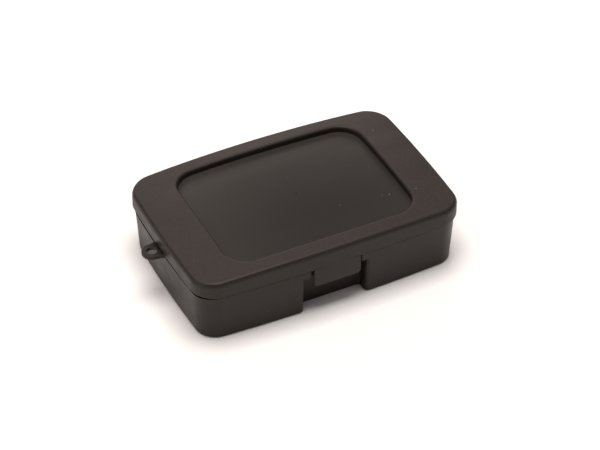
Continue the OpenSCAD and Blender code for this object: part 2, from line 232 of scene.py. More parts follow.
class Mesh:
    """Vertices in millimetres and faces with a material number each."""

    def __init__(self):
        self.points = []
        self.faces = []
        self.marks = []

    def add_ring(self, ring):
        start = len(self.points)
        self.points.extend(ring)
        return list(range(start, start + len(ring)))

    def face(self, corners, mark=0):
        unique = [c for i, c in enumerate(corners) if c != corners[i - 1]]
        if len(unique) > 2:
            self.faces.append(unique)
            self.marks.append(mark)

    def wall(self, lower, upper, mark=0):
        n = len(lower)
        for i in range(n):
            j = (i + 1) % n
            self.face([lower[i], lower[j], upper[j], upper[i]], mark)

    def cap_rows(self, ring, upwards, rows, height, mark=0):
        """Closes a ring that mirrors itself in Y with rows of quads at a height(x, y)."""
        n = len(ring)
        half = n // 2
        lines = []
        for i in range(half + 1):
            a, b = ring[i], ring[(n - i) % n]
            if a == b:
                lines.append([a] * (rows + 1))
                continue
            pa, pb = Vector(self.points[a]), Vector(self.points[b])
            line = [a]
            for k in range(1, rows):
                p = pa.lerp(pb, k / rows)
                p.z = height(p.x, p.y)
                self.points.append(tuple(p))
                line.append(len(self.points) - 1)
            lines.append(line + [b])
        for i in range(half):
            for k in range(rows):
                quad = [lines[i][k], lines[i + 1][k], lines[i + 1][k + 1], lines[i][k + 1]]
                self.face(quad if upwards else quad[::-1], mark)

    def build(self, name, materials):
        data = bpy.data.meshes.new(name)
        data.from_pydata([Vector(p) * MM for p in self.points], [], self.faces)
        for material in materials:
            data.materials.append(material)
        data.polygons.foreach_set("material_index", self.marks)
        data.polygons.foreach_set("use_smooth", [True] * len(data.polygons))
        data.validate()
        data.update()
        piece = bpy.data.objects.new(name, data)
        bpy.context.scene.collection.objects.link(piece)
        return piece


def loft(name, rings, materials, marks=None, cap_low=True, cap_high=True):
    mesh = Mesh()
    indices = [mesh.add_ring(r) for r in rings]
    for k in range(len(indices) - 1):
        mesh.wall(indices[k], indices[k + 1], marks[k] if marks else 0)
    if cap_low:
        mesh.face(indices[0][::-1], marks[0] if marks else 0)
    if cap_high:
        mesh.face(indices[-1], marks[-1] if marks else 0)
    return mesh.build(name, materials)


def arc(start, stop, steps):
    return [radians(start + (stop - start) * i / steps) for i in range(steps + 1)]


# ---------------------------------------------------------------- modifiers

def apply_modifiers(piece):
    graph = bpy.context.evaluated_depsgraph_get()
    data = bpy.data.meshes.new_from_object(piece.evaluated_get(graph))
    old = piece.data
    piece.modifiers.clear()
    piece.data = data
    bpy.data.meshes.remove(old)


def boolean(piece, tool, operation):
    modifier = piece.modifiers.new(operation.lower(), "BOOLEAN")
    modifier.operation = operation
    modifier.solver = "EXACT"
    modifier.object = tool
    apply_modifiers(piece)
    data = tool.data
    bpy.data.objects.remove(tool)
    bpy.data.meshes.remove(data)


def soften(piece, width, segments=3, angle=40):
    modifier = piece.modifiers.new("edges", "BEVEL")
    modifier.width = width * MM
    modifier.segments = segments
    modifier.limit_method = "ANGLE"
    modifier.angle_limit = radians(angle)
    modifier.miter_outer = "MITER_ARC"
    modifier.use_clamp_overlap = True


SHARP_ANGLE = radians(38)


def finished(piece, body, material_slot, *nodes):
    """Flat faces stay flat, edges above SHARP_ANGLE stay crisp, and the piece rides its body."""
    apply_modifiers(piece)
    piece.data.set_sharp_from_angle(angle=SHARP_ANGLE)
    piece.modifiers.new("normals", "WEIGHTED_NORMAL").keep_sharp = True
    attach(piece, body)
    if nodes:
        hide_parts(*nodes)
    return piece


# ---------------------------------------------------------------- simple forms

def box(name, low, high, materials):
    mesh = Mesh()
    lower = mesh.add_ring([(low[0], low[1], low[2]), (high[0], low[1], low[2]),
                           (high[0], high[1], low[2]), (low[0], high[1], low[2])])
    upper = mesh.add_ring([(low[0], low[1], high[2]), (high[0], low[1], high[2]),
                           (high[0], high[1], high[2]), (low[0], high[1], high[2])])
    mesh.wall(lower, upper)
    mesh.face(lower[::-1])
    mesh.face(upper)
    return mesh.build(name, materials)


def prism(name, points, axis, low, high, materials):
    """A flat outline, counter-clockwise seen from the end of axis, carried from low to high along it."""
    place = {"x": lambda u, v, w: (w, u, v), "y": lambda u, v, w: (v, w, u), "z": lambda u, v, w: (u, v, w)}[axis]
    mesh = Mesh()
    lower = mesh.add_ring([place(u, v, low) for u, v in points])
    upper = mesh.add_ring([place(u, v, high) for u, v in points])
    mesh.wall(lower, upper)
    mesh.face(lower[::-1])
    mesh.face(upper)
    return mesh.build(name, materials)


def turned(name, profile, centre, materials, steps=40):
    """A profile of (x, radius) turned about a line along X through centre."""
    mesh = Mesh()
    cx, cy, cz = centre
    rings = []
    for x, r in profile:
        rings.append(mesh.add_ring([(cx + x, cy + r * cos(t), cz + r * sin(t))
                                    for t in (2 * pi * i / steps for i in range(steps))]))
    for a, b in zip(rings, rings[1:]):
        mesh.wall(a, b)
    mesh.face(rings[0][::-1])
    mesh.face(rings[-1])
    return mesh.build(name, materials)


# ---------------------------------------------------------------- materials

def new_material(name):
    material = bpy.data.materials.new(name)
    material.use_nodes = True
    tree = material.node_tree
    return material, tree, tree.nodes["Principled BSDF"]


def add(tree, kind, **inputs):
    node = tree.nodes.new(kind)
    for key, value in inputs.items():
        node.inputs[key.replace("_", " ")].default_value = value
    return node


def object_coordinates(tree, scale=(1, 1, 1)):
    source = tree.nodes.new("ShaderNodeTexCoord")
    mapping = add(tree, "ShaderNodeMapping", Scale=scale)
    tree.links.new(source.outputs["Object"], mapping.inputs["Vector"])
    return mapping.outputs["Vector"]


def noise_value(tree, vector, scale, detail=3.0, rough=0.5):
    node = add(tree, "ShaderNodeTexNoise", Scale=scale, Detail=detail, Roughness=rough)
    tree.links.new(vector, node.inputs["Vector"])
    return node.outputs["Fac"]


def ramp(tree, value, low, high, stops=(0.0, 1.0)):
    node = tree.nodes.new("ShaderNodeMapRange")
    node.inputs["From Min"].default_value = low
    node.inputs["From Max"].default_value = high
    node.inputs["To Min"].default_value = stops[0]
    node.inputs["To Max"].default_value = stops[1]
    tree.links.new(value, node.inputs["Value"])
    return node.outputs["Result"]


def mix_colour(tree, share, colour_a, colour_b):
    node = tree.nodes.new("ShaderNodeMix")
    node.data_type = "RGBA"
    tree.links.new(share, node.inputs["Factor"])
    for socket, colour in ((node.inputs[6], colour_a), (node.inputs[7], colour_b)):
        if isinstance(colour, tuple):
            socket.default_value = colour
        else:
            tree.links.new(colour, socket)
    return node.outputs[2]


def bump(tree, height, strength, distance, normal=None):
    node = add(tree, "ShaderNodeBump", Strength=strength, Distance=distance)
    tree.links.new(height, node.inputs["Height"])
    if normal is not None:
        tree.links.new(normal, node.inputs["Normal"])
    return node.outputs["Normal"]


# Painted sheen on the sunk panel: how much it leans to the back and to the left, and how fast it spreads to the
# edges.
PANEL_LEAN_BACK = 0.28
PANEL_LEAN_LEFT = 0.2
PANEL_SPREAD = 0.55


def panel_painted_sheen_mask(tree):
    """Mask for the panel's painted sheen and shade: 0 in the middle of the sunk panel, rising to its edges, most of
    all to the back and the left.
    """
    source = tree.nodes.new("ShaderNodeTexCoord")
    parts = tree.nodes.new("ShaderNodeSeparateXYZ")
    tree.links.new(source.outputs["Object"], parts.inputs["Vector"])

    def math(operation, first, second):
        node = tree.nodes.new("ShaderNodeMath")
        node.operation = operation
        for socket, value in zip(node.inputs, (first, second)):
            if isinstance(value, float):
                socket.default_value = value
            else:
                tree.links.new(value, socket)
        return node.outputs[0]

    across = math("DIVIDE", parts.outputs["X"], PANEL_L / 2 * MM)
    back = math("DIVIDE", parts.outputs["Y"], PANEL_W / 2 * MM)
    outward = math("ADD", math("MULTIPLY", across, across), math("MULTIPLY", back, back))
    lean = math("SUBTRACT", math("MULTIPLY", back, PANEL_LEAN_BACK), math("MULTIPLY", across, PANEL_LEAN_LEFT))
    return math("ADD", math("MULTIPLY", outward, PANEL_SPREAD), lean)


SPECK_GLOW = 6.0
# Painted shade in the panel's middle and painted sheen towards its edges, as factors on the plastic's colours.
PANEL_PAINTED_SHADE = 0.8
PANEL_PAINTED_SHEEN = 1.75


def scaled(colour, factor):
    return tuple(min(1.0, c * factor) for c in colour[:3]) + (1.0,)


def moulded_plastic(name, dark, light, roughness, grain_scale, grain_depth, specular=0.5, tint=None,
                    mottle=1.0, place=None):
    """Moulded plastic: cloudy colour, a fine spark-eroded grain, faint flow marks and a few pale dust specks; on
    the panel also a painted sheen and shade.
    """
    material, tree, shader = new_material(name)
    coordinates = object_coordinates(tree)
    cloud = noise_value(tree, coordinates, 35.0, 4.0, 0.6)
    fine = noise_value(tree, coordinates, 900.0, 3.0, 0.6)
    grain = noise_value(tree, coordinates, grain_scale, 2.0, 0.55)
    flow = noise_value(tree, object_coordinates(tree, (1.0, 7.0, 7.0)), 12.0, 3.0, 0.5)
    base = mix_colour(tree, ramp(tree, cloud, 0.35, 0.65), dark, light)
    pale = scaled(light, mottle)
    mottled = mix_colour(tree, ramp(tree, fine, 0.35, 0.75, (0.0, 0.8)), base, pale)
    cells = add(tree, "ShaderNodeTexVoronoi", Scale=260.0)
    tree.links.new(coordinates, cells.inputs["Vector"])
    sparse = noise_value(tree, coordinates, 120.0, 1.0)
    speck = tree.nodes.new("ShaderNodeMath")
    speck.operation = "MULTIPLY"
    tree.links.new(ramp(tree, cells.outputs["Distance"], 0.13, 0.08), speck.inputs[0])
    tree.links.new(ramp(tree, sparse, 0.66, 0.69), speck.inputs[1])
    # Painted sheen and shade on the panel: its colour is darker in the middle and lighter towards the edges, most
    # of all to the back and left.
    if place == "panel":
        painted_shade_colour, bright = scaled(dark, PANEL_PAINTED_SHADE), scaled(light, PANEL_PAINTED_SHEEN)
        painted_sheen_tone = mix_colour(tree, ramp(tree, panel_painted_sheen_mask(tree), -0.1, 1.0), painted_shade_colour, bright)
        mottled = mix_colour(tree, ramp(tree, fine, 0.3, 0.9, (0.65, 0.8)), mottled, painted_sheen_tone)
    dust = scaled(light, SPECK_GLOW)
    colour = mix_colour(tree, speck.outputs[0], mottled, dust)
    tree.links.new(colour, shader.inputs["Base Color"])
    tree.links.new(ramp(tree, flow, 0.3, 0.7, (roughness - 0.05, roughness + 0.06)), shader.inputs["Roughness"])
    shader.inputs["Specular IOR Level"].default_value = specular
    if tint:
        shader.inputs["Specular Tint"].default_value = tint
    shallow = bump(tree, cloud, 0.15, 0.0006)
    tree.links.new(bump(tree, grain, 0.5, grain_depth, shallow), shader.inputs["Normal"])
    return material


def drawn_steel(name):
    """Zinc-bright wire with fine marks along its length."""
    material, tree, shader = new_material(name)
    along = object_coordinates(tree, (1.0, 30.0, 30.0))
    streak = noise_value(tree, along, 60.0, 4.0, 0.6)
    spots = noise_value(tree, object_coordinates(tree), 300.0, 3.0, 0.6)
    bright = mix_colour(tree, ramp(tree, streak, 0.3, 0.7), (0.42, 0.43, 0.44, 1), (0.66, 0.67, 0.68, 1))
    colour = mix_colour(tree, ramp(tree, spots, 0.62, 0.75, (0.0, 0.5)), bright, (0.25, 0.23, 0.21, 1))
    tree.links.new(colour, shader.inputs["Base Color"])
    shader.inputs["Metallic"].default_value = 1.0
    tree.links.new(ramp(tree, streak, 0.2, 0.8, (0.22, 0.4)), shader.inputs["Roughness"])
    tree.links.new(bump(tree, streak, 0.25, 0.00004), shader.inputs["Normal"])
    return material


def bait_wax(name):
    """Dyed paraffin with grain in it: mottled blue, soft sheen, a pitted surface."""
    material, tree, shader = new_material(name)
    coordinates = object_coordinates(tree)
    cloud = noise_value(tree, coordinates, 120.0, 4.0, 0.6)
    pits = noise_value(tree, coordinates, 700.0, 3.0, 0.6)
    grains = add(tree, "ShaderNodeTexVoronoi", Scale=420.0)
    tree.links.new(coordinates, grains.inputs["Vector"])
    body = mix_colour(tree, ramp(tree, cloud, 0.35, 0.65), (0.012, 0.16, 0.26, 1), (0.03, 0.26, 0.38, 1))
    seeded = ramp(tree, grains.outputs["Distance"], 0.32, 0.18, (0.0, 0.55))
    colour = mix_colour(tree, seeded, body, (0.16, 0.34, 0.36, 1))
    tree.links.new(colour, shader.inputs["Base Color"])
    tree.links.new(ramp(tree, pits, 0.3, 0.7, (0.42, 0.62)), shader.inputs["Roughness"])
    shader.inputs["Subsurface Weight"].default_value = 0.12
    shader.inputs["Subsurface Radius"].default_value = (0.0006, 0.0012, 0.0016)
    tree.links.new(bump(tree, pits, 0.5, 0.00025), shader.inputs["Normal"])
    return material


WARM_GLOSS = (1.0, 0.85, 0.78, 1)
PANEL_GLOSS = (1.0, 0.9, 0.86, 1)

SHELL = moulded_plastic("shell_matte", (0.0120, 0.0103, 0.0094, 1), (0.0146, 0.0124, 0.0112, 1),
                        roughness=0.47, grain_scale=2600.0, grain_depth=0.00012,
                        specular=0.30, tint=WARM_GLOSS, mottle=1.6)
BASE_SKIN = moulded_plastic("base_matte", (0.0104, 0.0089, 0.0082, 1), (0.0124, 0.0105, 0.0096, 1),
                            roughness=0.44, grain_scale=2600.0, grain_depth=0.00003,
                            specular=0.29, tint=WARM_GLOSS)
# The panel's plastic carries the painted sheen and shade.
PANEL = moulded_plastic("shell_smooth", (0.0187, 0.0172, 0.0153, 1), (0.0232, 0.0213, 0.0188, 1),
                        roughness=0.42, grain_scale=1500.0, grain_depth=0.00001,
                        specular=0.12, tint=PANEL_GLOSS, mottle=1.05, place="panel")
# Near-black, non-reflective plastic on the faces of the shadow gap under the lid: painted shade.
PAINTED_GAP_SHADE = moulded_plastic("gap_painted_shade", (0.0030, 0.0026, 0.0024, 1), (0.0036, 0.0031, 0.0028, 1),
                      roughness=0.9, grain_scale=2600.0, grain_depth=0.00008,
                      specular=0.0, tint=WARM_GLOSS)
INSERT = moulded_plastic("insert_plastic", (0.018, 0.0175, 0.017, 1), (0.026, 0.025, 0.024, 1),
                         roughness=0.42, grain_scale=1800.0, grain_depth=0.00003)
STEEL = drawn_steel("drawn_steel")
WAX = bait_wax("bait_wax")


# ---------------------------------------------------------------- lid

SKIRT_LIP_R = 0.3
INNER_LIP_R = 0.12
CEILING_R = 1.0
PAD_TOP_EDGE = 0.6
PAD_EDGE = 0.8
PAD_EDGE_MIDDLE = 0.25
FLOOR_EDGE_BAND = 0.3
FRAME_RINGS = 6
CAP_ROWS = 36
PANEL_Z = LID_TOP - PANEL_DEPTH


def panel_floor(x, y):
    return PANEL_Z + top_at(x, y) + floor_at(x, y)


def panel_underside(x, y):
    return panel_floor(x, y) - LID_WALL


def eased_at_tab(ring):
    """Takes the rounding off the skirt's lower edge where the tab joins it."""
    eased = []
    for x, y, z in ring:
        share = 1.0
        if y < 0:
            share = min(1.0, max(0.0, (abs(x) - TAB_HIGH.x) / TAB_GAP))
        edge_y = front_line(x, 0.0)
        eased.append((x, edge_y + (y - edge_y) * share, PART_Z + (z - PART_Z) * share) if share < 1 else (x, y, z))
    return eased


def make_lid():
    """The lid as one lofted skin: panel floor and wall, frame, rounded edge, skirt, then back under to the pad."""
    r, foot_r, lip, inner_lip = PANEL_EDGE_R, PANEL_FOOT_R, SKIRT_LIP_R, INNER_LIP_R
    wall_in = LID_WALL + SKIRT_DRAFT
    pad_z = PANEL_Z - LID_WALL
    ceiling_z = LID_TOP - LID_WALL
    frame_inner = panel_ring(-0.15, LID_TOP)
    frame_outer = body_ring(SKIRT_DRAFT + TOP_EDGE_IN + 0.2, LID_TOP)
    rings = [floor_ring(r + foot_r + FLOOR_EDGE_BAND, PANEL_Z)]
    rings += [floor_ring(r + foot_r * (1 - sin(t)), PANEL_Z + foot_r * (1 - cos(t))) for t in arc(0, 90, 4)]
    marks = [1] * 4
    rings += [panel_ring(r * cos(t), LID_TOP - r * (1 - sin(t))) for t in arc(0, 90, 8)]
    marks += [0] * (len(rings) - 1 - len(marks))
    rings += [on_top(between(frame_inner, frame_outer, i / FRAME_RINGS)) for i in range(FRAME_RINGS + 1)]
    rings += [raised(body_ring(SKIRT_DRAFT + TOP_EDGE_IN * (1 - cos(t)), LID_TOP - TOP_EDGE_DOWN * (1 - sin(t))))
              for t in arc(90, 0, 9)]
    for share in (0.06, 0.3, 0.6, 0.9):
        z = LID_TOP - TOP_EDGE_DOWN
        rings.append(between(raised(body_ring(SKIRT_DRAFT, z)), body_ring(0.02, PART_Z + lip), share))
    rings += [eased_at_tab(body_ring(lip * (1 - sin(t)), PART_Z + lip * (1 - cos(t)))) for t in arc(90, 0, 4)]
    rings += [body_ring(LID_WALL - inner_lip * (1 - sin(t)), PART_Z + inner_lip * (1 - cos(t)))
              for t in arc(0, 90, 3)]
    rings += [raised(body_ring(wall_in, ceiling_z - CEILING_R))]
    rings += [raised(body_ring(wall_in + CEILING_R * (1 - cos(t)), ceiling_z - CEILING_R * (1 - sin(t))))
              for t in arc(15, 90, 4)]
    rings += [panel_ring(-LID_WALL - PAD_TOP_EDGE, ceiling_z), panel_ring(-LID_WALL, ceiling_z - PAD_TOP_EDGE)]
    rings += [panel_ring(-LID_WALL, pad_z + PAD_EDGE),
              panel_ring(-LID_WALL + PAD_EDGE_MIDDLE, pad_z + PAD_EDGE_MIDDLE),
              floor_ring(-LID_WALL + PAD_EDGE, pad_z)]
    marks += [0] * (len(rings) - 1 - len(marks))
    mesh = Mesh()
    indices = [mesh.add_ring(ring) for ring in rings]
    for k in range(len(indices) - 1):
        mesh.wall(indices[k], indices[k + 1], marks[k])
    mesh.cap_rows(indices[0], False, CAP_ROWS, panel_floor, 1)
    mesh.cap_rows(indices[-1], True, CAP_ROWS, panel_underside)
    mesh.faces = [face[::-1] for face in mesh.faces]
    lid = mesh.build("lid", [SHELL, PANEL])
    for side in (-1, 1):
        boolean(lid, lid_knuckle(side), "UNION")
    return finished(lid, "lid", "shell_plastic", "lid_shell")


KNUCKLE_CHAMFER = 0.3
LID_BORE_R = 1.06
BASE_BORE_R = 1.0


def knuckle(name, skin, centre_x, length, arm_low, arm_high, bore_r):
    """A hinge knuckle with its arm, bored for the pin."""
    x0, x1 = centre_x - length / 2, centre_x + length / 2
    half, chamfer = length / 2, KNUCKLE_CHAMFER
    ends = [(-half, KNUCKLE_R - chamfer), (-half + chamfer, KNUCKLE_R),
            (half - chamfer, KNUCKLE_R), (half, KNUCKLE_R - chamfer)]
    piece = turned(name, ends, (centre_x, HINGE_Y, HINGE_Z), [skin])
    boolean(piece, box("arm", (x0, arm_low[0], arm_low[1]), (x1, arm_high[0], arm_high[1]), [skin]), "UNION")
    bore = turned("bore", [(-length, bore_r), (length, bore_r)], (centre_x, HINGE_Y, HINGE_Z), [skin], 32)
    boolean(piece, bore, "DIFFERENCE")
    return piece


def lid_knuckle(side):
    side_y = LID_W / 2 - BOW_LONG * (HINGE_X / HALF_L) ** 2
    return knuckle("lid_knuckle", SHELL, side * HINGE_X, LID_KNUCKLE_L,
                   (side_y - LID_WALL / 2, PART_Z), (HINGE_Y, HINGE_Z + KNUCKLE_R), LID_BORE_R)


GATE_PROFILE = ((1.5, -0.1), (1.35, 0.06), (1.0, 0.14), (0.75, 0.12), (0.6, 0.02), (0.25, 0.06))


def make_gate_mark():
    """The small raised stub where the plastic entered the mould, in the middle of the panel."""
    top = panel_floor(0, 0)
    mesh = Mesh()
    steps = 28
    turns = [2 * pi * i / steps for i in range(steps)]
    rings = [mesh.add_ring([(r * cos(t), r * sin(t), top + z) for t in turns]) for r, z in GATE_PROFILE]
    for a, b in zip(rings, rings[1:]):
        mesh.wall(a, b)
    mesh.face(rings[0][::-1])
    mesh.face(rings[-1])
    return finished(mesh.build("gate_mark", [PANEL]), "lid", "shell_plastic")


# ---------------------------------------------------------------- release tab

TAB_CORNER_R = 2.2
TAB_EDGE_R = 0.4
TAB_T = 1.1
LUG_HALF = 6.0
LUG_H = 1.6


def tab_outline(inset, y):
    """The tab's face moved in by an inset at its sides and foot, level at its top where it bends."""
    half, top, foot = TAB_HIGH.x - inset, TAB_HIGH.z, TAB_LOW.z + inset
    r = TAB_CORNER_R - inset
    left = [(-half + r - r * cos(t), foot + r - r * sin(t)) for t in arc(0, 90, 8)]
    right = [(half - r + r * sin(t), foot + r - r * cos(t)) for t in arc(0, 90, 8)]
    return [(x, y, z) for x, z in [(-half, top)] + left + right + [(half, top)]]


def make_tab():
    """The release tab, rounded all round but at its bend, with the catch lug on its back."""
    r = TAB_EDGE_R
    back = FRONT_Y + TAB_T
    rings = [tab_outline(r * (1 - sin(t)), FRONT_Y + r * (1 - cos(t))) for t in arc(0, 90, 4)]
    rings += [tab_outline(r * (1 - cos(t)), back - r + r * sin(t)) for t in arc(0, 90, 4)]
    tab = loft("tab", rings, [SHELL])
    top = RECESS_H - LID_GAP
    profile = [(back - r, top - LUG_H), (back, top - LUG_H), (TAB_HIGH.y, top - LUG_H / 2),
               (TAB_HIGH.y, top - LUG_H / 3), (back, top), (back - r, top)]
    boolean(tab, prism("lug", profile, "x", -LUG_HALF, LUG_HALF, [SHELL]), "UNION")
    return finished(tab, "tab", "shell_plastic", "release_tab")


# ---------------------------------------------------------------- base

SIDE_STEPS = 10


def recess_path(grow, inset):
    """Left half of the front edge with the recess in it, its walls moved into the plastic by grow."""
    r = RECESS_CORNER_R
    half = RECESS_HALF + grow
    back = RECESS_Y + grow
    mouth = front_line(half + r, inset)
    path = [(-half - r + r * sin(t), mouth + r - r * cos(t)) for t in arc(0, 90, 6)]
    path += [(-half, mouth + r + (back - mouth - 2 * r) * s) for s in (0.33, 0.67)]
    path += [(-half + r - r * cos(t), back - r + r * sin(t)) for t in arc(0, 90, 6)]
    return path + middle_points(back)


def middle_points(y):
    return [(-x, y) for x in (SLOT_HALF + 0.1, SLOT_HALF, SLOT_HALF - 0.6, 9.0, 4.5, 0.0)]


def slot_path(inset, count):
    """Left half of the front edge where only the slot for the tab is cut in it."""
    steps = count - len(middle_points(0)) + 1
    start = RECESS_HALF + RECESS_CORNER_R
    path = []
    for i in range(steps):
        x = start + (SLOT_HALF - start) * i / (steps - 1)
        path.append((-x, front_line(x, inset)))
    return path + middle_points(SLOT_Y)[1:]


def plain_path(inset, count):
    """Left half of the front edge with nothing cut in it."""
    path = slot_path(inset, count)
    return [(x, front_line(x, inset)) for x, _ in path]


def housing_path(half, back, inset, count):
    """Left half of the inner front edge, where it passes round a housing that stands inside."""
    steps = count - len(middle_points(0)) + 1
    near = front_line(half, inset)
    rise = back - near
    path = []
    for i in range(steps):
        share = i / (steps - 1)
        if share < 0.3:
            x = half + 1.6 * (1 - share / 0.3)
            path.append((-x, front_line(x, inset)))
        elif share < 0.7:
            path.append((-half, near + rise * (share - 0.3) / 0.4))
        else:
            path.append((-half + (half - SLOT_HALF - 0.5) * (share - 0.7) / 0.3, back))
    return path + middle_points(back)[1:]


PATH_COUNT = len(recess_path(0, 0))


def base_ring(inset, z, path):
    """A ring of the base's outline whose front edge follows a path."""
    a, b, r = HALF_L - inset, HALF_W - inset, max(CORNER_R - inset, 0.5)
    half = bow(half_outline(a, b, r), a, b, BOW_SHORT, BOW_LONG)
    lower_left = [(x, -y) for x, y in half[-2:-2 - SHORT_STEPS - ARC_STEPS:-1]]
    left_end = lower_left[-1][0]
    left_start = path[0][0]
    run = []
    for i in range(1, SIDE_STEPS + 1):
        x = left_end + (left_start - left_end) * i / (SIDE_STEPS + 1)
        run.append((x, front_line(x, inset)))
    front_left = run + path
    front = front_left + [(-x, y) for x, y in front_left[-2::-1]]
    lower_right = [(-x, y) for x, y in lower_left[::-1]]
    return [(x, y, z) for x, y in half + lower_left + front + lower_right]


def outer_inset(z):
    return FOOT_INSET + (OVERHANG - FOOT_INSET) * (z - FOOT_R) / (SHOULDER_Z - FOOT_R)


def inner_inset(z):
    return CAVITY_FOOT_INSET + (CAVITY_INSET - CAVITY_FOOT_INSET) * (z - FLOOR_T - 1) / (SHOULDER_Z - FLOOR_T - 1)


SEAM_IN = 0.8
SEAM_Z = SHOULDER_Z - 0.8
SEAM_DROP = 2.8
SEAM_FRONT_Y = FRONT_Y + 2
SEAM_SPAN_Y = 60.0
SEAM_LEFT_X = 12 - LID_L / 2
SEAM_SPAN_X = 8.0


def seam_ring(inset, rise):
    """Lower edge of the shadow gap under the lid, which widens along the left side to the rear."""

    def share(distance, span):
        return max(0.0, min(1.0, distance / span))

    def drop(x, y):
        return SEAM_DROP * share(y - SEAM_FRONT_Y, SEAM_SPAN_Y) ** 0.5 * share(SEAM_LEFT_X - x, SEAM_SPAN_X)

    ring = base_ring(inset, SEAM_Z + rise, slot_path(inset, PATH_COUNT))
    return [(x, y, z - drop(x, y)) for x, y, z in ring]


BASE_EDGE = 0.25
WALL_LEVELS = (6.0, 12.0, 18.0)


def make_base_shell():
    """The base as one lofted skin: foot, outer wall with its recess and slot, gap, rim, and down inside again."""
    edge = BASE_EDGE
    rings = []
    for t in arc(0, 90, 6):
        away = FOOT_R * (1 - sin(t))
        inset = FOOT_INSET + away
        rings.append(base_ring(inset, FOOT_R * (1 - cos(t)), recess_path(away * 0.6, inset)))
    for z in (FOOT_R + 0.3,) + WALL_LEVELS + (RECESS_H - 0.4, RECESS_H):
        inset = outer_inset(z)
        rings.append(base_ring(inset, z, recess_path(0, inset)))
    for z in (RECESS_H, RECESS_H + 1):
        inset = outer_inset(z)
        rings.append(base_ring(inset, z, slot_path(inset, PATH_COUNT)))
    for away, rise in ((0.0, -0.12), (0.04, -0.03), (0.12, 0.0), (SEAM_IN, 0.05)):
        rings.append(seam_ring(outer_inset(SEAM_Z) + away, rise))
    gap_start = len(rings) - 2
    rings.append(base_ring(OVERHANG + SEAM_IN, SHOULDER_Z, slot_path(OVERHANG + SEAM_IN, PATH_COUNT)))
    for inset, z in ((RIM_INSET, SHOULDER_Z), (RIM_INSET + 0.05, RIM_TOP - edge),
                     (RIM_INSET + 0.1 + edge, RIM_TOP), (CAVITY_INSET - edge, RIM_TOP),
                     (CAVITY_INSET, RIM_TOP - edge), (CAVITY_INSET, SHOULDER_Z + 0.2)):
        rings.append(base_ring(inset, z, plain_path(inset, PATH_COUNT)))
    half = RECESS_HALF + BASE_WALL
    for z in (SHOULDER_Z, RECESS_H + FLOOR_T + 0.1):
        inset = inner_inset(z)
        rings.append(base_ring(inset, z, housing_path(half, SLOT_Y + BASE_WALL, inset, PATH_COUNT)))
    for z in (RECESS_H + FLOOR_T,) + WALL_LEVELS[::-1] + (FLOOR_T + 1,):
        inset = inner_inset(z)
        rings.append(base_ring(inset, z, housing_path(half, RECESS_Y + BASE_WALL, inset, PATH_COUNT)))
    for t in arc(20, 90, 4):
        away = 1 - cos(t)
        inset = CAVITY_FOOT_INSET + away
        path = housing_path(half + away, RECESS_Y + BASE_WALL + away, inset, PATH_COUNT)
        rings.append(base_ring(inset, FLOOR_T + 1 - sin(t), path))
    # The two bands of the shadow gap get the near-black gap material: painted shade.
    marks = [1 if gap_start <= k < gap_start + 2 else 0 for k in range(len(rings) - 1)]
    return loft("base", rings, [BASE_SKIN, PAINTED_GAP_SHADE], marks)


def arch_outline(r, height, steps=20):
    """Arch in (z, x) pairs, counter-clockwise seen from the rear: over the top first, then along the sill."""
    points = [(SILL_Z + height - r + r * sin(t), r * cos(t)) for t in arc(180, 0, steps)]
    return points + [(SILL_Z, r), (SILL_Z, -r)]


def make_ear():
    """The tie-down ear: a flat plate with a round end, a hole and a flared root."""
    root_x = -(LID_L / 2 - OVERHANG - SEAM_IN - 0.7)
    steps, hole_steps = 24, 40
    flare = [(root_x + (EAR_X - root_x) * s, EAR_ROOT_HALF + (EAR_R - EAR_ROOT_HALF) * sin(s * pi / 2))
             for s in (0.0, 0.15, 0.3, 0.5, 0.7, 0.85)]
    upper = [(x, EAR_Y + y) for x, y in flare]
    tip = [(EAR_X - EAR_R * sin(t), EAR_Y + EAR_R * cos(t)) for t in arc(0, 180, steps)]
    lower = [(x, 2 * EAR_Y - y) for x, y in upper[::-1]]
    ear = prism("ear", upper + tip + lower, "z", SHOULDER_Z - EAR_T, SHOULDER_Z, [BASE_SKIN])
    turns = [2 * pi * i / hole_steps for i in range(hole_steps)]
    hole_outline = [(EAR_X + EAR_HOLE_R * cos(t), EAR_Y + EAR_HOLE_R * sin(t)) for t in turns]
    hole = prism("hole", hole_outline, "z", SHOULDER_Z - EAR_T - 1, SHOULDER_Z + 1, [BASE_SKIN])
    boolean(ear, hole, "DIFFERENCE")
    soften(ear, 0.3)
    apply_modifiers(ear)
    return ear


def base_knuckle(centre_x):
    side_y = LID_W / 2 - OVERHANG - BOW_LONG * (centre_x / HALF_L) ** 2
    return knuckle("base_knuckle", BASE_SKIN, centre_x, BASE_KNUCKLE_L,
                   (side_y - 0.9, HINGE_Z - KNUCKLE_R), (HINGE_Y, HINGE_Z), BASE_BORE_R)


RAIL_T = 1.4
RAIL_H = 3.0
POST_D = 4.0
GUIDE_CLEAR = 0.1
GUIDE_SINK = 0.5


def baffle_guides():
    """Posts at the rear wall and low rails on the floor that hold the baffles upright."""
    guides = []
    low, high = box_mm("baffle_right")
    middle, half = (low.x + high.x) / 2, (high.x - low.x) / 2
    for side in (-1, 1):
        for face in (-1, 1):
            x = side * middle + face * (half + GUIDE_CLEAR + RAIL_T / 2)
            for front, back, top in ((high.y - POST_D, high.y + 1.0, high.z - FLOOR_T),
                                     (low.y, high.y - POST_D + GUIDE_SINK, FLOOR_T + RAIL_H)):
                guide = box("guide", (x - RAIL_T / 2, front, FLOOR_T - GUIDE_SINK),
                            (x + RAIL_T / 2, back, top), [BASE_SKIN])
                soften(guide, 0.25, 2)
                apply_modifiers(guide)
                guides.append(guide)
    return guides


